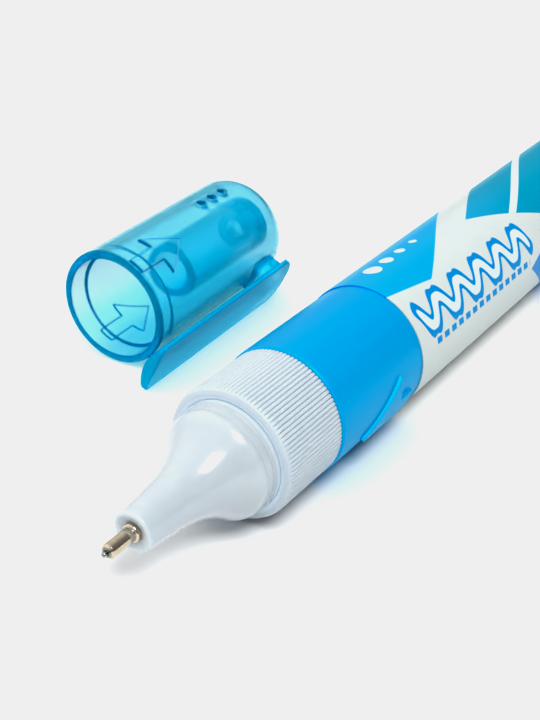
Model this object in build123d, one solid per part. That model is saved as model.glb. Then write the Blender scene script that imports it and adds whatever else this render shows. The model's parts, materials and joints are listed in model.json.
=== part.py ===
from build123d import *
import os
from math import acos, atan2, cos, degrees, hypot, pi, radians, sin, sqrt

# A squeeze correction pen with its cap off, lying beside it. Sizes are in
# millimetres. The pen lies along X with its tip towards -X, and stations along
# it count from the bottle's shoulder, where the ribbed collar meets the bottle.
# Turns about a long axis count from straight up, towards -Y.

# Bottle
BARREL_R = 8.25
BOTTLE_LENGTH = 90.0
BOTTLE_WALL = 1.2
SHOULDER_ROUND = 0.5
TAIL_WALL = 1.5
TAIL_ROUND = 1.6
NECK_WALL = 1.35

# Label film
LABEL_START = 18.2
LABEL_TAIL_INSET = 4.0
LABEL_FILM = 0.14
LABEL_GAP = 0.02

# Ribbed collar
COLLAR_STEP = 0.18
COLLAR_LENGTH = 10.3
COLLAR_WALL = 0.87
COLLAR_ROUND = 0.7
COLLAR_BEVEL = 0.25
COLLAR_LIP = 1.2
LIP_OVERLAP = 0.30
RIB_COUNT = 100
RIB_DEPTH = 0.2
RIB_CREST = 0.28

# Nozzle: two low steps, a bell and a slim tapered nose
BASE_WIDTH = 1.0
BASE_STEP = 0.06
BELL_RIM = 0.3
BELL_LENGTH = 8.75
BELL_WALL = 1.2
BELL_SHOULDER = 1.28
BELL_THROAT = 6.1
NOSE_LENGTH = 5.3
NOSE_WALL = 0.9
NOSE_TAPER = 0.55
NOSE_ROUND = 0.3
DISH_DEPTH = 0.3
DISH_RIM = 0.4
FLANGE = 1.5
SKIRT_LENGTH = 4.0
SKIRT_WALL = 1.05
SNAP_GAP = 0.02

# Tip tube and needle
TIP_R = 0.84
TIP_BORE = 0.55
TIP_OUT = 3.86
TIP_SOCKET = 5.6
TIP_LIP = 0.25
TIP_BEVEL = 0.35
BEAD_HEIGHT = 0.25
BEAD_WIDTH = 0.55
PRESS_GAP = 0.02
NEEDLE_R = 0.30
NEEDLE_TRAVEL = 0.5
NEEDLE_PROUD = 0.05
NEEDLE_GAP = 0.03
VALVE_STEP = 0.15
VALVE_LENGTH = 0.6
SEAT_GAP = 0.02

# Valve chamber: slider, spring and plug
CHAMBER_R = 2.0
SLIDER_LENGTH = 2.2
SLIDER_GAP = 0.08
SLIDER_PLAY = 0.1
FLUTE_R = 0.6
FLUTE_COUNT = 3
GUIDE_R = 1.0
GUIDE_LENGTH = 1.2
SPRING_LENGTH = 6.0
SPRING_R = 1.4
SPRING_WIRE = 0.3
SPRING_TURNS = 3
SPRING_SEAT = 0.02
PLUG_STEP = 0.6
PLUG_LENGTH = 2.6
PLUG_HOLE = 0.6
TUBE_WALL = 0.9

# Mixing ball
BALL_R = 3.0
BALL_STATION = 60.0
BALL_GAP = 0.1

# Cap shell
CAP_STEP = 0.07
CAP_LENGTH = 32.1
CAP_DRAFT = 0.3
CAP_END_ROUND = 4.0
CAP_END_CORNER = 1.8
CAP_WALL = 1.05
CAP_END_WALL = 1.2
CAP_MOUTH_DEPTH = 3.0
CAP_MOUTH_STEP = 0.35
CAP_RIM_ROUND = 0.3
SPIGOT_R = 1.5
VENT_R = 0.65
VENT_COUNT = 3
VENT_PITCH = 2.55
VENT_INSET = 7.0
VENT_TURN = 5.0

# Cap inner sleeve
SLEEVE_LENGTH = 18.7
SLEEVE_WALL = 1.2
SLEEVE_FLOOR = 3.2
SEAL_GAP = 0.03

# Pocket clip, moulded on the cap
CLIP_WIDTH = 8.1
CLIP_THICK = 1.65
CLIP_RIM = 0.4
CLIP_GAP = 0.95
CLIP_OVERHANG = 4.2
CLIP_END_INSET = 3.8
CLIP_END_SHARE = 0.85
CLIP_CORNER = 1.0
CLIP_EDGE = 0.25
CLIP_ROOT = 5.0
CLIP_ROOT_WIDTH = 4.8
CLIP_ROOT_INSET = 1.0
CLIP_ROOT_CORNER = 1.0

# Raised arrows
ARROW_SINK = 0.6
CAP_ARROW_RISE = 0.25
CAP_ARROW_LENGTH = 9.6
CAP_ARROW_HEAD = 5.0
CAP_ARROW_HEAD_WIDTH = 6.4
CAP_ARROW_SHAFT_WIDTH = 2.3
CAP_ARROW_NEAR_TAIL = 0.4
CAP_ARROW_FAR_TAIL = 2.9
CAP_ARROW_TURN = 30.0
BOTTLE_ARROW_RISE = 0.4
BOTTLE_ARROW_APEX = 5.4
BOTTLE_ARROW_HEAD = 7.4
BOTTLE_ARROW_HEAD_WIDTH = 10.2
BOTTLE_ARROW_SHAFT_WIDTH = 4.4
BOTTLE_ARROW_SHAFT = 2.8
BOTTLE_ARROW_TURN = 117.0

# Where the cap lies: its mouth beside the pen, its axis turned a little
CAP_MOUTH_X = 9.0
CAP_ASIDE = 32.7
CAP_YAW = 2.6

# Radii, from the outside in
label_r = BARREL_R + LABEL_GAP + LABEL_FILM
bottle_bore = BARREL_R - BOTTLE_WALL
collar_r = BARREL_R - COLLAR_STEP
rib_valley_r = collar_r - RIB_DEPTH
collar_bore = rib_valley_r - COLLAR_WALL
neck_r = collar_bore - SNAP_GAP
neck_bore = neck_r - NECK_WALL
band_r = collar_bore - LIP_OVERLAP
bell_r = band_r - 2 * BASE_STEP
skirt_r = neck_bore - SNAP_GAP
skirt_bore = skirt_r - SKIRT_WALL
nose_back_r = CHAMBER_R + NOSE_WALL
nose_front_r = nose_back_r - NOSE_TAPER
plug_seat_r = CHAMBER_R + PLUG_STEP
chamber_tube_r = plug_seat_r + TUBE_WALL
orifice_r = NEEDLE_R + NEEDLE_GAP
cap_r = collar_r - CAP_STEP
cap_end_r = cap_r - CAP_DRAFT
cap_mouth_r = cap_r - CAP_WALL
cap_bore = cap_mouth_r - CAP_MOUTH_STEP

# Stations along the pen
collar_front = -COLLAR_LENGTH
lip_back = collar_front + COLLAR_LIP
neck_front = lip_back + FLANGE
bell_start = collar_front - 2 * BASE_WIDTH
ogee_start = bell_start - BELL_RIM
nose_back = ogee_start - BELL_LENGTH
nose_front = nose_back - NOSE_LENGTH
tip_front = nose_front - TIP_OUT
needle_front = tip_front - NEEDLE_PROUD - NEEDLE_TRAVEL
chamber_front = nose_front + TIP_SOCKET
slider_front = chamber_front + SLIDER_PLAY
slider_back = slider_front + SLIDER_LENGTH
plug_front = slider_back + SPRING_LENGTH
plug_back = plug_front + PLUG_LENGTH
skirt_back = neck_front + SKIRT_LENGTH


def revolved(*stations):
    """A solid of revolution about X, from (x, radius, corner round) stations."""
    points = [(x, r) for x, r, _ in stations]
    rounds = [corner for _, _, corner in stations]
    outline = FilletPolyline(*points, radius=rounds, close=True)
    return revolve(make_face(outline), Axis.X)


def ring(x_from, x_to, outer_r, inner_r):
    """A plain tube along X."""
    return revolved((x_from, inner_r, 0), (x_from, outer_r, 0), (x_to, outer_r, 0), (x_to, inner_r, 0))


def rod(x_from, x_to, r):
    """A plain rod along X."""
    return revolved((x_from, 0, 0), (x_from, r, 0), (x_to, r, 0), (x_to, 0, 0))


def raised_arrow(surface_r, rise, apex, head, head_width, shaft_width, tail):
    """An arrow that stands on top of a cylinder about X; its apex and tail are stations."""
    barb = apex + head if tail > apex else apex - head
    half = [
        (apex, 0),
        (barb, head_width / 2),
        (barb, shaft_width / 2),
        (tail, shaft_width / 2),
    ]
    mirrored = [(x, -y) for x, y in reversed(half[1:])]
    top_r = surface_r + rise
    prism = extrude(make_face(Polyline(*half, *mirrored, close=True)), top_r)
    return prism & ring(min(apex, tail), max(apex, tail), top_r, surface_r - ARROW_SINK)


def make_bottle():
    """Squeeze bottle: neck, square shoulder, barrel and closed tail, with one raised arrow."""
    tail_inside = BOTTLE_LENGTH - TAIL_WALL
    body = revolved(
        (neck_front, neck_bore, 0),
        (neck_front, neck_r, 0),
        (0, neck_r, 0),
        (0, BARREL_R, SHOULDER_ROUND),
        (BOTTLE_LENGTH, BARREL_R, TAIL_ROUND),
        (BOTTLE_LENGTH, 0, 0),
        (tail_inside, 0, 0),
        (tail_inside, bottle_bore, 0),
        (bottle_bore - neck_bore, bottle_bore, 0),
        (0, neck_bore, 0),
    )
    arrow = raised_arrow(
        BARREL_R,
        BOTTLE_ARROW_RISE,
        BOTTLE_ARROW_APEX,
        BOTTLE_ARROW_HEAD,
        BOTTLE_ARROW_HEAD_WIDTH,
        BOTTLE_ARROW_SHAFT_WIDTH,
        BOTTLE_ARROW_APEX + BOTTLE_ARROW_HEAD + BOTTLE_ARROW_SHAFT,
    )
    return body + Rot(X=BOTTLE_ARROW_TURN) * arrow


def make_label():
    """Printed film wrapped round the barrel."""
    return ring(LABEL_START, BOTTLE_LENGTH - LABEL_TAIL_INSET, label_r, BARREL_R + LABEL_GAP)


def make_collar():
    """Grip ring: fine lengthwise ribs, a bevelled front edge and a lip over the nozzle's flange."""
    pitch = 2 * pi / RIB_COUNT
    crest = RIB_CREST / collar_r / 2
    outline = []
    for i in range(RIB_COUNT):
        for r, turn in ((collar_r, -crest), (collar_r, crest), (rib_valley_r, pitch / 2)):
            angle = i * pitch + turn
            outline.append((r * cos(angle), r * sin(angle)))
    ribbed = extrude(Plane.YZ.offset(collar_front) * make_face(Polyline(*outline, close=True)), COLLAR_LENGTH)
    knee = COLLAR_ROUND * (1 - sqrt(0.5))
    opening_r = band_r + SNAP_GAP
    envelope = revolved(
        (0, collar_bore, 0),
        (0, BARREL_R, 0),
        (collar_front + COLLAR_ROUND, BARREL_R, 0),
        (collar_front + COLLAR_ROUND, collar_r, 0),
        (collar_front + knee, collar_r - knee, 0),
        (collar_front, collar_r - COLLAR_ROUND, 0),
        (collar_front, opening_r + COLLAR_BEVEL, 0),
        (collar_front + COLLAR_BEVEL, opening_r, 0),
        (lip_back, opening_r, 0),
        (lip_back, collar_bore, 0),
    )
    return ribbed & envelope


def make_nozzle():
    """Bell-shaped nozzle: plug skirt, flange, base steps, ogee bell, nose and valve chamber."""
    first_step = collar_front - BASE_WIDTH
    pocket_front = bell_start - BELL_WALL - BELL_SHOULDER / 2
    pocket_r = bell_r - BELL_WALL
    bell = Bezier(
        (ogee_start, bell_r),
        (ogee_start - BELL_SHOULDER, bell_r),
        (nose_back + BELL_THROAT, nose_back_r + NOSE_TAPER * BELL_THROAT / NOSE_LENGTH),
        (nose_back, nose_back_r),
    )
    nose = FilletPolyline(
        (nose_back, nose_back_r),
        (nose_front, nose_front_r),
        (nose_front, nose_front_r - DISH_RIM),
        (nose_front + DISH_DEPTH, TIP_R + BEAD_HEIGHT),
        (nose_front + DISH_DEPTH, TIP_R + PRESS_GAP),
        radius=[NOSE_ROUND, 0, 0],
    )
    inside = Polyline(
        (nose_front + DISH_DEPTH, TIP_R + PRESS_GAP),
        (chamber_front, TIP_R + PRESS_GAP),
        (chamber_front, CHAMBER_R),
        (plug_front, CHAMBER_R),
        (plug_front, plug_seat_r + PRESS_GAP),
        (plug_back, plug_seat_r + PRESS_GAP),
        (plug_back, chamber_tube_r),
        (pocket_front, chamber_tube_r),
        (bell_start, pocket_r),
        (lip_back, pocket_r),
        (neck_front, skirt_bore),
        (skirt_back, skirt_bore),
        (skirt_back, skirt_r),
    )
    base = Polyline(
        (skirt_back, skirt_r),
        (neck_front, skirt_r),
        (neck_front, neck_r),
        (lip_back, neck_r),
        (lip_back, band_r),
        (first_step, band_r),
        (first_step, band_r - BASE_STEP),
        (bell_start, band_r - BASE_STEP),
        (bell_start, bell_r),
        (ogee_start, bell_r),
    )
    return revolve(make_face(bell + nose + inside + base), Axis.X)


def make_tip_tube():
    """Metal tip: bevelled mouth, inner valve seat and a bead that sits in the nozzle's dish."""
    bead_back = nose_front + DISH_DEPTH
    bead_front = bead_back - BEAD_WIDTH
    bead_r = TIP_R + BEAD_HEIGHT
    cone = TIP_BORE - orifice_r
    return revolved(
        (tip_front, orifice_r, 0),
        (tip_front, TIP_R - TIP_BEVEL, 0),
        (tip_front + TIP_BEVEL, TIP_R, 0),
        (bead_front, TIP_R, 0),
        (bead_front, bead_r, BEAD_HEIGHT * 0.9),
        (bead_back, bead_r, 0),
        (bead_back, TIP_R, 0),
        (chamber_front, TIP_R, 0),
        (chamber_front, TIP_BORE, 0),
        (tip_front + TIP_LIP + cone, TIP_BORE, 0),
        (tip_front + TIP_LIP, orifice_r, 0),
    )


def make_needle():
    """Valve pin: round end, thin stem, cone shoulder that shuts the seat, and a tail in the slider."""
    shoulder = tip_front + TIP_LIP + SEAT_GAP
    valve_r = NEEDLE_R + VALVE_STEP
    valve_back = shoulder + VALVE_STEP + VALVE_LENGTH
    tail = slider_back
    return revolved(
        (needle_front, 0, 0),
        (needle_front, NEEDLE_R, NEEDLE_R * 0.95),
        (shoulder, NEEDLE_R, 0),
        (shoulder + VALVE_STEP, valve_r, 0),
        (valve_back, valve_r, 0),
        (valve_back, NEEDLE_R, 0),
        (tail, NEEDLE_R, 0),
        (tail, 0, 0),
    )


def make_slider():
    """Fluted guide on the needle, with a stub that centres the spring."""
    slider_r = CHAMBER_R - SLIDER_GAP
    body = revolved(
        (slider_front, NEEDLE_R, 0),
        (slider_front, slider_r, 0),
        (slider_back, slider_r, 0),
        (slider_back, GUIDE_R, 0),
        (slider_back + GUIDE_LENGTH, GUIDE_R, 0),
        (slider_back + GUIDE_LENGTH, 0, 0),
        (slider_back, 0, 0),
        (slider_back, NEEDLE_R, 0),
    )
    flute = Pos(Z=slider_r) * rod(slider_front, slider_back, FLUTE_R)
    for i in range(FLUTE_COUNT):
        body -= Rot(X=i * 360 / FLUTE_COUNT) * flute
    return body


def biarc(start, start_way, end, end_way):
    """Two arcs that leave and arrive along the given directions."""
    chord = end - start
    both = start_way + end_way
    spread = 2 * (1 - start_way.dot(end_way))
    along = chord.dot(both)
    reach = (sqrt(along ** 2 + spread * chord.dot(chord)) - along) / spread
    first = start + start_way * reach
    second = end - end_way * reach
    middle = (first + second) * 0.5
    return [
        TangentArc(start, middle, tangent=start_way),
        TangentArc(middle, end, tangent=(second - first).normalized()),
    ]


def make_spring():
    """Open compression spring round the slider's stub, from the slider to the plug."""
    inset = SPRING_WIRE / 2 + SPRING_SEAT
    rise = SPRING_LENGTH - 2 * inset
    first_x = slider_back + inset
    halves = 2 * SPRING_TURNS

    def place(half):
        turn = half * pi
        return Vector(first_x + rise * half / halves, SPRING_R * cos(turn), SPRING_R * sin(turn))

    def way(half):
        turn = half * pi
        lead = rise / (2 * pi * SPRING_TURNS)
        return Vector(lead, -SPRING_R * sin(turn), SPRING_R * cos(turn)).normalized()

    arcs = []
    for half in range(halves):
        arcs += biarc(place(half), way(half), place(half + 1), way(half + 1))
    path = Wire(arcs)
    print(f"spring gap between turns {rise / SPRING_TURNS - SPRING_WIRE:.2f} mm")
    start = Plane(origin=place(0), z_dir=way(0))
    return sweep(start * Circle(SPRING_WIRE / 2), path=path)


def make_plug():
    """Spring plug: a stepped disc with a stub for the spring and a hole for the fluid."""
    return revolved(
        (plug_front - GUIDE_LENGTH, PLUG_HOLE, 0),
        (plug_front - GUIDE_LENGTH, GUIDE_R, 0),
        (plug_front, GUIDE_R, 0),
        (plug_front, plug_seat_r, 0),
        (plug_back, plug_seat_r, 0),
        (plug_back, PLUG_HOLE, 0),
    )


def make_ball():
    """Steel ball, lying on the reservoir's lower wall."""
    return Pos(BALL_STATION, 0, BALL_R + BALL_GAP - bottle_bore) * Sphere(BALL_R)


def sleeve_bore():
    """The inner sleeve closes on the nose where its mouth lies when the cap is on."""
    mouth_station = collar_front - (CAP_LENGTH - CAP_END_WALL - SLEEVE_LENGTH)
    return nose_front_r + NOSE_TAPER * (mouth_station - nose_front) / NOSE_LENGTH + SEAL_GAP


def clip_turn():
    """The turn at which the clip's lower edge and the cap's raised arrow both touch the table."""
    across = CLIP_WIDTH / 2 - CLIP_EDGE
    out = cap_r + CLIP_GAP + CLIP_THICK - CLIP_EDGE
    height = cap_r + CAP_ARROW_RISE
    lean = atan2(across, out)
    return degrees(acos((CLIP_EDGE - height) / hypot(across, out)) - lean)


def make_clip():
    """Pocket clip: a strip, flat outside and full inside, joined to the wall near its rounded end."""
    back = CAP_LENGTH - CLIP_END_INSET
    front = -CLIP_OVERHANG
    half = CLIP_WIDTH / 2
    under = cap_r + CLIP_GAP
    top = under + CLIP_THICK
    side = top - CLIP_RIM
    flat = Polyline((half, side), (half, top), (-half, top), (-half, side))
    full = ThreePointArc((-half, side), (0, under), (half, side))
    strip = extrude(Plane.YZ.offset(front) * make_face(flat + full), back - front)
    end_round = CLIP_END_SHARE * half
    plan = FilletPolyline(
        (front, -half),
        (front, half),
        (back, half),
        (back, -half),
        radius=[CLIP_CORNER, CLIP_CORNER, end_round, end_round],
        close=True,
    )
    strip &= extrude(Pos(Z=under) * make_face(plan), CLIP_THICK)
    strip = fillet(strip.faces().sort_by(Axis.Z)[-1].edges(), CLIP_EDGE)
    root_face = RectangleRounded(CLIP_ROOT, CLIP_ROOT_WIDTH, CLIP_ROOT_CORNER)
    root_foot = cap_end_r - CAP_WALL / 2
    root_middle = back - CLIP_ROOT_INSET - CLIP_ROOT / 2
    root = extrude(Pos(root_middle, 0, root_foot) * root_face, top - CLIP_RIM - root_foot)
    return strip + root


def make_cap_shell():
    """Cap: drafted shell with a rounded end, vent holes, spigot for the sleeve, arrows and clip."""
    end_inside = CAP_LENGTH - CAP_END_WALL
    end_bore = cap_end_r - CAP_WALL - CAP_MOUTH_STEP
    shell = revolved(
        (0, cap_mouth_r, 0),
        (0, cap_r, CAP_RIM_ROUND),
        (CAP_LENGTH, cap_end_r, CAP_END_ROUND),
        (CAP_LENGTH, 0, 0),
        (end_inside - SLEEVE_FLOOR, 0, 0),
        (end_inside - SLEEVE_FLOOR, SPIGOT_R, 0),
        (end_inside, SPIGOT_R, 0),
        (end_inside, end_bore, CAP_END_CORNER),
        (CAP_MOUTH_DEPTH, cap_bore, 0),
        (CAP_MOUTH_DEPTH, cap_mouth_r, 0),
    )
    for tail, turn in ((CAP_ARROW_NEAR_TAIL, 0), (CAP_ARROW_FAR_TAIL, 180)):
        arrow = raised_arrow(
            cap_r,
            CAP_ARROW_RISE,
            tail + CAP_ARROW_LENGTH,
            CAP_ARROW_HEAD,
            CAP_ARROW_HEAD_WIDTH,
            CAP_ARROW_SHAFT_WIDTH,
            tail,
        )
        shell += Rot(X=CAP_ARROW_TURN + turn) * arrow
    shell += Rot(X=clip_turn()) * make_clip()
    for i in range(VENT_COUNT):
        hole = Pos(CAP_LENGTH - VENT_INSET - i * VENT_PITCH, 0, cap_r) * Cylinder(VENT_R, 4 * CAP_WALL)
        shell -= Rot(X=VENT_TURN) * hole
    return shell


def make_cap_sleeve():
    """Inner sleeve: seals on the nozzle's nose and sits on the shell's spigot."""
    back = CAP_LENGTH - CAP_END_WALL
    front = back - SLEEVE_LENGTH
    bore = sleeve_bore()
    return revolved(
        (front, bore, 0),
        (front, bore + SLEEVE_WALL, SLEEVE_WALL / 3),
        (back, bore + SLEEVE_WALL, 0),
        (back, SPIGOT_R + PRESS_GAP, 0),
        (back - SLEEVE_FLOOR, SPIGOT_R + PRESS_GAP, 0),
        (back - SLEEVE_FLOOR, bore, 0),
    )


pen = {
    "bottle": make_bottle(),
    "label_sleeve": make_label(),
    "ribbed_collar": make_collar(),
    "nozzle": make_nozzle(),
    "tip_tube": make_tip_tube(),
    "valve_needle": make_needle(),
    "needle_slider": make_slider(),
    "valve_spring": make_spring(),
    "spring_plug": make_plug(),
    "mixing_ball": make_ball(),
}
cap = {
    "cap_shell": make_cap_shell(),
    "cap_inner_sleeve": make_cap_sleeve(),
}

# The pen rests on its label, and the cap on a raised arrow and its clip's edge.
pen_place = Pos(0, 0, label_r)
cap_place = Pos(CAP_MOUTH_X, CAP_ASIDE, cap_r + CAP_ARROW_RISE) * Rot(Z=CAP_YAW)
placed = {name: pen_place * solid for name, solid in pen.items()}
placed.update({name: cap_place * solid for name, solid in cap.items()})

# The origin is the middle of the whole set's outline, on the table.
boxes = [solid.bounding_box() for solid in placed.values()]
middle_x = (min(box.min.X for box in boxes) + max(box.max.X for box in boxes)) / 2
middle_y = (min(box.min.Y for box in boxes) + max(box.max.Y for box in boxes)) / 2
to_origin = Pos(-middle_x, -middle_y, 0)
print(f"shoulder at x {-middle_x:.4f}, pen axis at y {-middle_y:.4f}, z {label_r:.4f}")

os.makedirs("parts", exist_ok=True)
for name, solid in placed.items():
    export_step(to_origin * solid, f"parts/{name}.step")
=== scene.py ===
import json
import math

import bpy
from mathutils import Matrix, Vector


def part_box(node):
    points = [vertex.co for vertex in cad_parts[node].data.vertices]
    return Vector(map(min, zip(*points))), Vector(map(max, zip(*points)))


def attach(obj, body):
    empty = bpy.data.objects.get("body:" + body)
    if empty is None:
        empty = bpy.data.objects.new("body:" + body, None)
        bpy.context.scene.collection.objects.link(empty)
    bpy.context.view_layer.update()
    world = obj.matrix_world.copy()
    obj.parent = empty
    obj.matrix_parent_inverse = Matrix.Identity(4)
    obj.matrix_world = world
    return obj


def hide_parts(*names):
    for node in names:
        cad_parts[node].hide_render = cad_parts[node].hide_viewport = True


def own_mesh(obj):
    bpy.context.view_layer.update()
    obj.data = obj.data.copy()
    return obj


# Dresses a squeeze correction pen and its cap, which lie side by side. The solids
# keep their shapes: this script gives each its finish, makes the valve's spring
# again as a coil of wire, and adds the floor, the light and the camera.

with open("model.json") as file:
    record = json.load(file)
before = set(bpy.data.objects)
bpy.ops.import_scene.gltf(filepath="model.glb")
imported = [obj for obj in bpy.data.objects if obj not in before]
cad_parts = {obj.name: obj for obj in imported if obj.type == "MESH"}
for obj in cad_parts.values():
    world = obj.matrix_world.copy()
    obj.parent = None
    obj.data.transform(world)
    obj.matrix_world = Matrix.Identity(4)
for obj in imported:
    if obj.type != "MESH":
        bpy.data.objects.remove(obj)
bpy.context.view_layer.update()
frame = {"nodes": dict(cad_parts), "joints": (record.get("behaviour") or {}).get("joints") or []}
pieces = frame["nodes"]
joints = {joint["name"]: joint for joint in frame["joints"]}

MM = 0.001
BLACK = (0.0, 0.0, 0.0, 1.0)
WHITE = (1.0, 1.0, 1.0, 1.0)

# The camera, where the photograph's rings and edges put it, with its angles in degrees
CAMERA_PLACE = Vector((-133.2, -85.825, 88.0)) * MM
CAMERA_AZIMUTH = -55.66
CAMERA_ELEVATION = 30.18
CAMERA_LENS = 65.0
CAMERA_NEAR = 1.0

# The floor and the softboxes, in metres and watts
FLOOR_SIZE = 1.8
KEY_PLACE = (-0.45, -0.90, 1.70)
KEY_SIZE = 0.8
KEY_POWER = 31.0
FILL_PLACE = (0.35, -1.90, 0.75)
FILL_SIZE = 1.1
FILL_POWER = 0.4
LIGHT_BOUNCES = 32

# The sky's strength at the horizon and from SKY_RISE up, and the glow of its bright side
SKY_EDGE = 0.22
SKY_TOP = 0.42
SKY_RISE = 0.45
SKY_GLOW = 1.1
SKY_GLOW_WAY = (-0.30, 0.72, 0.62)

# The film's curve, from its black level to its white
FILM_BLACK = 0.038
FILM_WHITE = 0.863
FILM_CONTRAST = 1.4
FILM_STEPS = 5
COMBINED_CURVE = 3

# The pen's axis and the label's front edge, read from the frame, and the length of a degree
label_low, label_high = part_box("label_sleeve")
PEN_Y = (label_low.y + label_high.y) / 2
PEN_Z = (label_low.z + label_high.z) / 2
LABEL_FRONT = label_low.x
ARC_MM = math.radians(1) * (label_high.z - label_low.z) / 2 / MM

# The groove where the nozzle's base enters the collar, in mm from the label's front, and the painted
# glow that lifts the shade in it
GROOVE_INSET = 0.1
GROOVE_ALONG = (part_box("ribbed_collar")[0].x - LABEL_FRONT) / MM + GROOVE_INSET
GROOVE_R = 6.78
GROOVE_REACH = 0.35
GROOVE_SOFT = 0.56
PAINTED_GROOVE_GLOW = (0.20, 0.24, 0.28, 1.0)

# The tip tube's open end, where a darker colour is painted as its shade
TIP_ALONG = (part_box("tip_tube")[0].x - LABEL_FRONT) / MM
MOUTH_R = 0.62
MOUTH_SOFT = 0.06

# The valve spring's wire
SPRING_WIRE = 0.3
SPRING_TURNS = 3
SPRING_STEPS = 40
WIRE_SIDES = 10

# The cap's axis, which its inner sleeve shares, its wall and what clouds its plastic
sleeve_low, sleeve_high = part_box("cap_inner_sleeve")
CAP_MIDDLE = (sleeve_low + sleeve_high) / 2
CAP_WAY = Vector(joints["cap_slide"]["axis"])
CAP_R = 8.5
CAP_HAZE = 0.19
CAP_TINT = (0.005, 0.90, 0.968, 1.0)
CAP_DENSITY = 150.0
CLIP_SOFT = 0.4
CLIP_HAZE = 0.30
# How far and how strongly the painted darker-blue lines follow the cap's edges, in place of light bent
# at its bevels
EDGE_REACH = 0.45
EDGE_GAIN = 1.8
BEVEL_SAMPLES = 6

# Label print, in mm along the film and degrees round it: 0 faces -Y, 90 is on top
PRINT_SOFT = 0.12
SOFT_TURN = PRINT_SOFT / ARC_MM
FADE_START = 22.0
FADE_LENGTH = 16.0

# The front panel's lower and upper edges, which both slope, and its steep back edge
FRONT_FOOT_TURN = 70.0
FRONT_HEAD_TURN = 205.0
FRONT_SLOPE = 1.26
FRONT_BACK_ALONG = 8.7
FRONT_BACK_TURN = 59.0
FRONT_BACK_SLOPE = 3.45

# The rear panel, from its near corner, and the plain band across it
REAR_ALONG = 24.8
REAR_TURN = 85.0
REAR_LEAN = 0.317
REAR_FOOT_SLOPE = 3.1
REAR_HEAD_TURN = 215.0
REAR_HEAD_SLOPE = 1.2
BAND_INSET = 14.0
BAND_WIDTH = 2.6

# The wedge low on the film's near side
WEDGE_ALONG = 30.7
WEDGE_TURN = 6.0
WEDGE_LEAN = 0.174
WEDGE_HEAD_TURN = 4.0
WEDGE_HEAD_SLOPE = 3.0

# The wave, the row of dashes under it and the row of dots
WAVE_TURN = 36.0
WAVE_START = 2.6
WAVE_END = 31.0
WAVE_LENGTH = 5.6
WAVE_HEIGHT = 1.30
WAVE_CORE = 0.60
WAVE_RIM = 1.30
DASH_TURN = 12.5
DASH_START = 3.8
DASH_END = 30.5
DASH_PITCH = 1.9
DASH_SHARE = 0.62
DASH_HALF = 0.42
DOT_TURN = 104.0
DOT_START = 5.0
DOT_PITCH = 3.4
DOT_COUNT = 4
DOT_R = 1.25
DOT_SHRINK = 0.78


def srgb(red, green, blue):
    """A colour from display values of 0 to 255."""
    channels = []
    for value in (red, green, blue):
        share = value / 255
        channels.append(share / 12.92 if share <= 0.04045 else ((share + 0.055) / 1.055) ** 2.4)
    return (*channels, 1.0)


class Val:
    """A value that varies over a surface; arithmetic on it adds Math nodes to its tree."""

    def __init__(self, owner, node, socket=None):
        self.owner = owner
        self.node = node
        self.socket = socket or next(out for out in node.outputs if out.enabled)

    def output(self, name):
        """Another output of the same node."""
        return Val(self.owner, self.node, self.node.outputs[name])

    def math(self, operation, *others, clamp=False):
        """A Math node that takes this value first."""
        settings = {"operation": operation, "use_clamp": clamp}
        return self.owner.node("ShaderNodeMath", settings, self, *others)

    def math_after(self, operation, first):
        """A Math node that takes this value second."""
        return self.owner.node("ShaderNodeMath", {"operation": operation}, first, self)

    def __add__(self, other):
        return self.math("ADD", other)

    def __sub__(self, other):
        return self.math("SUBTRACT", other)

    def __mul__(self, other):
        return self.math("MULTIPLY", other)

    def __truediv__(self, other):
        return self.math("DIVIDE", other)

    def __rsub__(self, other):
        return self.math_after("SUBTRACT", other)

    def __rtruediv__(self, other):
        return self.math_after("DIVIDE", other)

    def __abs__(self):
        return self.math("ABSOLUTE")

    __radd__ = __add__
    __rmul__ = __mul__

    def at_least(self, other):
        """The larger of the two."""
        return self.math("MAXIMUM", other)

    def hypot(self, other):
        """The distance that these two make at right angles."""
        return (self * self + other * other).math("SQRT")

    def above(self, edge, soft):
        """1 where the value is over edge, 0 where it is under, with a soft border."""
        return ((self - edge) / soft).math("ADD", 0.5, clamp=True)

    def below(self, edge, soft):
        """1 where the value is under edge, 0 where it is over, with a soft border."""
        return 1 - self.above(edge, soft)


def find_input(node, key):
    """A node's input, by its place, its identifier or its name with spaces as underscores."""
    if isinstance(key, int):
        return node.inputs[key]
    for socket in node.inputs:
        if socket.identifier == key:
            return socket
    return node.inputs[key.replace("_", " ")]


class NodeTree:
    """The nodes of a finish or of the sky."""

    def __init__(self, tree):
        self.tree = tree
        tree.nodes.clear()

    def fill(self, node, key, value):
        """Links a value to a node's input, or sets a number or a colour there."""
        socket = find_input(node, key)
        if isinstance(value, Val):
            self.tree.links.new(value.socket, socket)
        else:
            socket.default_value = value

    def node(self, kind, settings, *values, **named):
        """Adds any node: first its settings, then the values or links of its sockets."""
        node = self.tree.nodes.new(kind)
        for key, value in (settings or {}).items():
            setattr(node, key, value)
        for key, value in list(enumerate(values)) + list(named.items()):
            self.fill(node, key, value)
        return Val(self, node) if node.outputs else node


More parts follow.
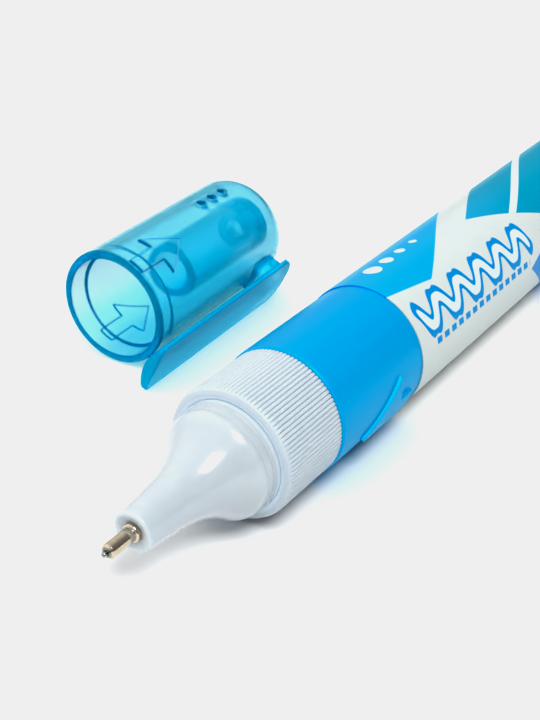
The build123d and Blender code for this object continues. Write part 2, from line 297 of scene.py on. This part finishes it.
class Finish(NodeTree):
    """A material with one Principled shader, whose sockets take numbers, colours or values."""

    def __init__(self, name, **sockets):
        self.material = bpy.data.materials.new(name)
        self.material.use_nodes = True
        super().__init__(self.material.node_tree)
        self.shader = self.node("ShaderNodeBsdfPrincipled", None, **sockets)
        self.end = self.node("ShaderNodeOutputMaterial", None, Surface=self.shader)

    def set(self, **sockets):
        """Fills sockets of the Principled shader."""
        for key, value in sockets.items():
            self.fill(self.shader.node, key, value)

    def let_light_in(self, weight, depths_mm):
        """Scatters light under the surface, to these depths for red, green and blue."""
        radius = tuple(depth * MM for depth in depths_mm)
        self.set(Subsurface_Weight=weight, Subsurface_Radius=radius, Subsurface_Scale=1.0)

    def position(self):
        """The point of the surface, in the piece's own frame."""
        return self.node("ShaderNodeTexCoord", None).output("Object")

    def axes(self):
        """Distances in mm along the pen from the label's front, towards -Y and up from its axis."""
        split = self.node("ShaderNodeSeparateXYZ", None, self.position())
        along = (split.output("X") - LABEL_FRONT) / MM
        aside = (PEN_Y - split.output("Y")) / MM
        up = (split.output("Z") - PEN_Z) / MM
        return along, aside, up

    def along_and_out(self):
        """Distances in mm along the pen from the label's front and out from its axis."""
        along, aside, up = self.axes()
        return along, aside.hypot(up)

    def mix(self, mask, under, over):
        """The colour under where mask is 0 and the colour over where it is 1."""
        return self.node(
            "ShaderNodeMix", {"data_type": "RGBA"}, Factor_Float=mask, A_Color=under, B_Color=over
        )

    def noise(self, size_mm, stretch=(1, 1, 1), detail=2.0):
        """Soft noise whose lumps are about size_mm across, times stretch along each axis."""
        scale = tuple(1 / (size_mm * MM * share) for share in stretch)
        settings = {"operation": "MULTIPLY"}
        place = self.node("ShaderNodeVectorMath", settings, self.position(), scale)
        return self.node("ShaderNodeTexNoise", None, Vector=place, Scale=1.0, Detail=detail)

    def soft_edges(self, radius_mm):
        """Normals that turn over an edge as a moulded corner of that radius does."""
        return self.node("ShaderNodeBevel", {"samples": BEVEL_SAMPLES}, Radius=radius_mm * MM)

    def bump(self, height, depth_mm, corner_mm=None):
        """Normals of a fine relief, over corners of that radius if one is given."""
        links = {"Height": height, "Distance": depth_mm * MM, "Strength": 1.0}
        if corner_mm:
            links["Normal"] = self.soft_edges(corner_mm)
        return self.node("ShaderNodeBump", None, **links)

    def painted_edge_lines(self, radius_mm):
        """Painted shade lines along each sharp edge: a mask strong at the edge, gone at that distance
        from it.
        """
        face = self.node("ShaderNodeNewGeometry", None).output("Normal")
        dot = {"operation": "DOT_PRODUCT"}
        flat = self.node("ShaderNodeVectorMath", dot, self.soft_edges(radius_mm), face)
        return (1 - flat).math("MULTIPLY", EDGE_GAIN, clamp=True)


def bottle_blue():
    """Satin blue polyethylene, with faint lengthwise flow marks."""
    finish = Finish("bottle_blue", IOR=1.51, Specular_IOR_Level=0.8, Specular_Tint=srgb(20, 200, 255))
    finish.let_light_in(weight=0.08, depths_mm=(0.2, 0.6, 1.0))
    flow = finish.noise(size_mm=1.6, stretch=(14, 1, 1))
    grain = finish.noise(size_mm=0.22, detail=3.0)
    colour = finish.mix(flow, srgb(0, 162, 208), srgb(0, 172, 218))
    finish.set(Base_Color=colour, Roughness=0.30 + flow * 0.10)
    finish.set(Normal=finish.bump(grain, depth_mm=0.006, corner_mm=0.12))
    return finish


def painted_groove_glow(finish):
    """Painted light: an emission glow in the groove between collar and nozzle, which lifts the shade
    there.
    """
    along, out = finish.along_and_out()
    near = (along - GROOVE_ALONG).hypot(out - GROOVE_R)
    return finish.mix(near.below(GROOVE_REACH, GROOVE_SOFT), BLACK, PAINTED_GROOVE_GLOW)


def collar_white():
    """Satin white moulding with a fine grain."""
    finish = Finish("collar_white", IOR=1.49, Specular_IOR_Level=0.4)
    finish.let_light_in(weight=0.6, depths_mm=(0.8, 0.9, 1.0))
    grain = finish.noise(size_mm=0.18, detail=3.0)
    cloud = finish.noise(size_mm=4.0)
    colour = finish.mix(cloud, srgb(195, 205, 213), srgb(203, 212, 218))
    finish.set(Base_Color=colour, Roughness=0.42 + grain * 0.12)
    # Painted light: the groove between collar and nozzle glows, to lift its shade.
    finish.set(Emission_Color=painted_groove_glow(finish), Emission_Strength=1.0)
    finish.set(Normal=finish.bump(grain, depth_mm=0.008, corner_mm=0.09))
    return finish


def nozzle_white():
    """Glossy white moulding that lets a little light through."""
    finish = Finish("nozzle_white", IOR=1.50, Coat_Weight=0.5, Coat_Roughness=0.03)
    finish.let_light_in(weight=0.8, depths_mm=(1.6, 1.8, 2.1))
    cloud = finish.noise(size_mm=3.0)
    ripple = finish.noise(size_mm=1.2, stretch=(2, 1, 1))
    colour = finish.mix(cloud, srgb(192, 200, 205), srgb(199, 206, 210))
    finish.set(Base_Color=colour, Roughness=0.16 + ripple * 0.06)
    # Painted light: the groove between collar and nozzle glows, to lift its shade.
    finish.set(Emission_Color=painted_groove_glow(finish), Emission_Strength=1.0)
    finish.set(Normal=finish.bump(ripple, depth_mm=0.003, corner_mm=0.12))
    return finish


def painted_mouth_shade(finish):
    """1 on the tip tube's end, inside its bright rim, where painted shade lies."""
    along, out = finish.along_and_out()
    return out.below(MOUTH_R, MOUTH_SOFT) * along.below(TIP_ALONG + MOUTH_R, MOUTH_SOFT)


def drawn_metal(name, light, dark, roughness, mouth=False):
    """Drawn and turned metal: fine rings along the pen and a slight stain."""
    finish = Finish(name, Metallic=1.0)
    rings = finish.noise(size_mm=0.05, stretch=(1, 90, 90), detail=3.0)
    stain = finish.noise(size_mm=0.7)
    colour = finish.mix(stain, dark, light)
    # With mouth, painted shade: a darker grey-green over the tube's open end.
    if mouth:
        colour = finish.mix(painted_mouth_shade(finish), colour, srgb(158, 164, 152))
    finish.set(Base_Color=colour, Roughness=roughness + rings * 0.06)
    finish.set(Normal=finish.bump(rings, depth_mm=0.0006, corner_mm=0.06))
    return finish


def natural_plastic():
    """Plain milky moulding of the pieces inside."""
    finish = Finish("natural_plastic", IOR=1.5)
    finish.let_light_in(weight=0.2, depths_mm=(0.6, 0.6, 0.5))
    cloud = finish.noise(size_mm=1.0)
    finish.set(Base_Color=finish.mix(cloud, srgb(226, 226, 220), srgb(238, 238, 233)))
    finish.set(Roughness=0.35 + cloud * 0.15)
    return finish


def clip_mask(finish):
    """1 on the cap's clip, which stands outside the cap's round wall, and 0 elsewhere."""
    split = finish.node("ShaderNodeSeparateXYZ", None, finish.position())
    from_x = split.output("X") - CAP_MIDDLE.x
    from_y = split.output("Y") - CAP_MIDDLE.y
    aside = from_y * CAP_WAY.x - from_x * CAP_WAY.y
    up = split.output("Z") - CAP_MIDDLE.z
    return aside.hypot(up).above(CAP_R * MM, CLIP_SOFT * MM)


def clear_blue(name):
    """Translucent blue plastic: clear with a little haze, its colour taken up by its thickness."""
    finish = Finish(name, IOR=1.49, Transmission_Weight=1.0, Specular_Tint=srgb(60, 236, 255))
    ripple = finish.noise(size_mm=2.2, stretch=(3, 1, 1))
    finish.set(Base_Color=finish.mix(ripple, srgb(247, 255, 255), srgb(252, 255, 255)))
    finish.set(Roughness=0.06 + ripple * 0.05)
    finish.set(Normal=finish.bump(ripple, depth_mm=0.01, corner_mm=0.6))

    haze = CAP_HAZE + clip_mask(finish) * CLIP_HAZE
    milk = finish.node("ShaderNodeBsdfDiffuse", None, Color=srgb(0, 207, 241))
    hazy = finish.node("ShaderNodeMixShader", None, haze, finish.shader, milk)
    # Painted shade: darker blue lines along the edges, in place of light bent at the moulded bevels.
    painted_edge_shade = finish.node("ShaderNodeBsdfDiffuse", None, Color=srgb(0, 116, 190))
    lined = finish.node("ShaderNodeMixShader", None, finish.painted_edge_lines(EDGE_REACH), hazy, painted_edge_shade)

    shade_ray = finish.node("ShaderNodeLightPath", None).output("Is Shadow Ray")
    clear = finish.node("ShaderNodeBsdfTransparent", None, Color=srgb(246, 255, 255))
    surface = finish.node("ShaderNodeMixShader", None, shade_ray, lined, clear)
    inside = finish.node("ShaderNodeVolumeAbsorption", None, Color=CAP_TINT, Density=CAP_DENSITY)
    finish.fill(finish.end, "Surface", surface)
    finish.fill(finish.end, "Volume", inside)
    return finish


def front_panel(along, turn):
    """1 on the slanted panel at the film's front."""
    foot = turn.above(FRONT_FOOT_TURN - along * FRONT_SLOPE, SOFT_TURN)
    head = turn.below(FRONT_HEAD_TURN - along * FRONT_SLOPE, SOFT_TURN)
    back = turn.above(FRONT_BACK_TURN + (along - FRONT_BACK_ALONG) * FRONT_BACK_SLOPE, SOFT_TURN)
    return foot * head * back


def rear_panel(along, turn):
    """1 on the slanted panel behind the front one, and 1 on the plain band across it."""
    past = along - REAR_ALONG
    from_edge = past - (turn - REAR_TURN) * REAR_LEAN
    foot = turn.above(REAR_TURN - past * REAR_FOOT_SLOPE, SOFT_TURN)
    head = turn.below(REAR_HEAD_TURN + past * REAR_HEAD_SLOPE, SOFT_TURN)
    panel = from_edge.above(0, PRINT_SOFT) * foot * head
    band_start = from_edge.above(BAND_INSET, PRINT_SOFT)
    band_end = from_edge.below(BAND_INSET + BAND_WIDTH, PRINT_SOFT)
    return panel, panel * band_start * band_end


def wedge_panel(along, turn):
    """1 on the wedge low on the film's near side."""
    past = along - WEDGE_ALONG
    front = past.above((WEDGE_TURN - turn) * WEDGE_LEAN, PRINT_SOFT)
    return front * turn.below(WEDGE_HEAD_TURN + past * WEDGE_HEAD_SLOPE, SOFT_TURN)


def wave_distance(along, round_mm):
    """Distance in mm from the wave's middle line and its two ends."""
    pace = 2 * math.pi / WAVE_LENGTH
    swing = (along * pace).math("SINE") * WAVE_HEIGHT
    slope = (along * pace).math("COSINE") * (WAVE_HEIGHT * pace)
    off_line = abs(round_mm - WAVE_TURN * ARC_MM - swing) / (1 + slope * slope).math("SQRT")
    past_end = (WAVE_START - along).at_least(along - WAVE_END).at_least(0)
    return off_line.hypot(past_end)


def dash_row(along, round_mm):
    """1 on a row of dashes along the film."""
    cell = (along / DASH_PITCH).math("FRACT") * DASH_PITCH
    dash = cell.below(DASH_PITCH * DASH_SHARE, PRINT_SOFT)
    row = abs(round_mm - DASH_TURN * ARC_MM).below(DASH_HALF, PRINT_SOFT)
    run = along.above(DASH_START, PRINT_SOFT) * along.below(DASH_END, PRINT_SOFT)
    return dash * row * run


def dot_row(along, round_mm):
    """1 on a row of dots along the film, each smaller than the one before."""
    across = round_mm - DOT_TURN * ARC_MM
    dots = 0
    for i in range(DOT_COUNT):
        from_middle = (along - (DOT_START + i * DOT_PITCH)).hypot(across)
        dots = dots + from_middle.below(DOT_R * DOT_SHRINK ** i, PRINT_SOFT)
    return dots


def label_film():
    """Printed film: blue and teal panels on white, with dots, a bold wave and a row of dashes."""
    finish = Finish("label_film", IOR=1.5, Specular_IOR_Level=0.2, Coat_Roughness=0.12, Coat_Weight=0.08)
    along, aside, up = finish.axes()
    turn = 90 - aside.math("ARCTAN2", up) * math.degrees(1)
    round_mm = turn * ARC_MM
    paper = finish.noise(size_mm=2.5)
    fade = (along - FADE_START).math("DIVIDE", FADE_LENGTH, clamp=True)
    rear, band = rear_panel(along, turn)
    from_wave = wave_distance(along, round_mm)

    ink = srgb(0, 150, 206)
    white = finish.mix(paper, srgb(202, 210, 209), srgb(208, 215, 214))
    blue = finish.mix(paper, srgb(0, 168, 242), srgb(0, 176, 248))
    teal = finish.mix(fade, srgb(30, 167, 205), srgb(0, 159, 186))
    colour = finish.mix(front_panel(along, turn), white, blue)
    colour = finish.mix(rear, colour, teal)
    colour = finish.mix(wedge_panel(along, turn), colour, srgb(66, 150, 206))
    colour = finish.mix(dot_row(along, round_mm) + band, colour, srgb(210, 222, 226))
    colour = finish.mix(from_wave.below(WAVE_RIM, PRINT_SOFT), colour, ink)
    colour = finish.mix(from_wave.below(WAVE_CORE, PRINT_SOFT), colour, srgb(212, 224, 228))
    colour = finish.mix(dash_row(along, round_mm), colour, ink)
    finish.set(Base_Color=colour, Roughness=0.30 + paper * 0.10)
    finish.set(Normal=finish.bump(paper, depth_mm=0.01))
    return finish


def add_object(name, data):
    """Puts a mesh, a light or a camera in the scene."""
    thing = bpy.data.objects.new(name, data)
    bpy.context.scene.collection.objects.link(thing)
    return thing


def wind_wire(low, high):
    """Points and faces of an open helix of round wire that fills the box from low to high."""
    wire_r = SPRING_WIRE * MM / 2
    coil_r = (high.z - low.z) / 2 - wire_r
    rise = (high.x - low.x - 2 * wire_r) / (2 * math.pi * SPRING_TURNS)
    steps = SPRING_TURNS * SPRING_STEPS
    points = []
    for i in range(steps + 1):
        turn = 2 * math.pi * i / SPRING_STEPS
        out = Vector((0, math.cos(turn), math.sin(turn)))
        middle = Vector((low.x + wire_r + rise * turn, PEN_Y, PEN_Z)) + out * coil_r
        way = Vector((rise, -coil_r * math.sin(turn), coil_r * math.cos(turn))).normalized()
        side = way.cross(out)
        for j in range(WIRE_SIDES):
            angle = 2 * math.pi * j / WIRE_SIDES
            points.append(middle + (out * math.cos(angle) + side * math.sin(angle)) * wire_r)

    last = steps * WIRE_SIDES
    faces = [tuple(reversed(range(WIRE_SIDES))), tuple(range(last, last + WIRE_SIDES))]
    for i in range(steps):
        for j in range(WIRE_SIDES):
            here = i * WIRE_SIDES + j
            beside = i * WIRE_SIDES + (j + 1) % WIRE_SIDES
            faces.append((here, beside, beside + WIRE_SIDES, here + WIRE_SIDES))
    return points, faces


def coil_spring(steel):
    """The valve spring, which shortens as the needle is pushed in."""
    low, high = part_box("valve_spring")
    points, faces = wind_wire(low, high)
    mesh = bpy.data.meshes.new("coil_spring")
    mesh.from_pydata(points, [], faces)
    mesh.shade_smooth()
    mesh.materials.append(steel.material)
    spring = add_object("coil_spring", mesh)
    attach(spring, "pen")
    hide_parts("valve_spring")
    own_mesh(spring)


def dress(name, finish):
    """Gives a solid its finish."""
    for slot in pieces[name].material_slots:
        slot.material = finish.material


def dress_all():
    """Gives every solid its finish and makes the spring."""
    steel = drawn_metal("bright_steel", srgb(196, 197, 199), srgb(150, 150, 152), 0.08)
    nickel = drawn_metal("nickel_silver", srgb(228, 218, 201), srgb(196, 185, 168), 0.15, mouth=True)
    milky = natural_plastic()
    dress("bottle", bottle_blue())
    dress("label_sleeve", label_film())
    dress("ribbed_collar", collar_white())
    dress("nozzle", nozzle_white())
    dress("tip_tube", nickel)
    dress("valve_needle", steel)
    dress("needle_slider", milky)
    coil_spring(steel)
    dress("spring_plug", milky)
    dress("mixing_ball", steel)
    dress("cap_shell", clear_blue("cap_blue"))
    dress("cap_inner_sleeve", clear_blue("sleeve_blue"))


def make_floor():
    """A plain pale sheet under the pen."""
    mesh = bpy.data.meshes.new("floor")
    half = FLOOR_SIZE / 2
    corners = [(-half, -half, 0), (half, -half, 0), (half, half, 0), (-half, half, 0)]
    mesh.from_pydata(corners, [], [(0, 1, 2, 3)])
    floor = add_object("floor", mesh)
    paper = Finish("floor_paper", Roughness=0.7, Specular_IOR_Level=0.2)
    tone = paper.noise(size_mm=30.0)
    paper.set(Base_Color=paper.mix(tone, srgb(242, 242, 242), srgb(243, 243, 243)))
    mesh.materials.append(paper.material)


def aim(thing, back):
    """Turns a light or camera so that it looks away from the direction back."""
    thing.rotation_euler = Vector(back).to_track_quat("Z", "Y").to_euler()


def add_softbox(name, place, size, power):
    """A square light that faces the origin."""
    light = bpy.data.lights.new(name, "AREA")
    light.size = size
    light.energy = power
    lamp = add_object(name, light)
    lamp.location = place
    aim(lamp, place)


def choose_film(film):
    """A curve that deepens the mid tones and ends below full white, as the photograph's does."""
    film.view_transform = "Standard"
    film.use_curve_mapping = True
    film.curve_mapping.extend = "HORIZONTAL"
    film.curve_mapping.black_level = (FILM_BLACK, FILM_BLACK, FILM_BLACK)
    curve = film.curve_mapping.curves[COMBINED_CURVE].points
    for i in range(1, FILM_STEPS):
        curve.new(i / FILM_STEPS, FILM_WHITE * (i / FILM_STEPS) ** FILM_CONTRAST)
    curve[-1].location = (1.0, FILM_WHITE)
    film.curve_mapping.update()


def light_sky(scene):
    """A pale sky that is brighter above and on one side; the camera itself sees it white."""
    scene.world = bpy.data.worlds.new("studio")
    scene.world.use_nodes = True
    sky = NodeTree(scene.world.node_tree)
    way = sky.node("ShaderNodeTexCoord", None).output("Generated")
    height = sky.node("ShaderNodeSeparateXYZ", None, way).output("Z")
    span = {"From_Max": SKY_RISE, "To_Min": SKY_EDGE, "To_Max": SKY_TOP}
    pale = sky.node("ShaderNodeMapRange", None, Value=height, **span)
    facing = sky.node("ShaderNodeVectorMath", {"operation": "DOT_PRODUCT"}, way, SKY_GLOW_WAY)
    glow = facing.math("MULTIPLY", SKY_GLOW, clamp=True)
    seen = sky.node("ShaderNodeLightPath", None).output("Is Camera Ray")
    strength = (glow + pale).at_least(seen)
    surround = sky.node("ShaderNodeBackground", None, Color=WHITE, Strength=strength)
    sky.node("ShaderNodeOutputWorld", None, Surface=surround)


def light_studio():
    """The film, the sky, one large softbox and a weak fill."""
    scene = bpy.context.scene
    choose_film(scene.view_settings)
    light_sky(scene)
    add_softbox("key", KEY_PLACE, KEY_SIZE, KEY_POWER)
    add_softbox("fill", FILL_PLACE, FILL_SIZE, FILL_POWER)
    scene.cycles.max_bounces = LIGHT_BOUNCES
    scene.cycles.transmission_bounces = LIGHT_BOUNCES
    scene.cycles.glossy_bounces = LIGHT_BOUNCES
    scene.cycles.caustics_refractive = False


def add_camera():
    """The photograph's camera."""
    camera = add_object("camera", bpy.data.cameras.new("camera"))
    camera.data.lens = CAMERA_LENS
    camera.data.clip_start = CAMERA_NEAR * MM
    camera.location = CAMERA_PLACE
    azimuth = math.radians(CAMERA_AZIMUTH)
    elevation = math.radians(CAMERA_ELEVATION)
    level = math.cos(elevation)
    aim(camera, (math.sin(azimuth) * level, -math.cos(azimuth) * level, math.sin(elevation)))
    bpy.context.scene.camera = camera


dress_all()
make_floor()
light_studio()
add_camera()
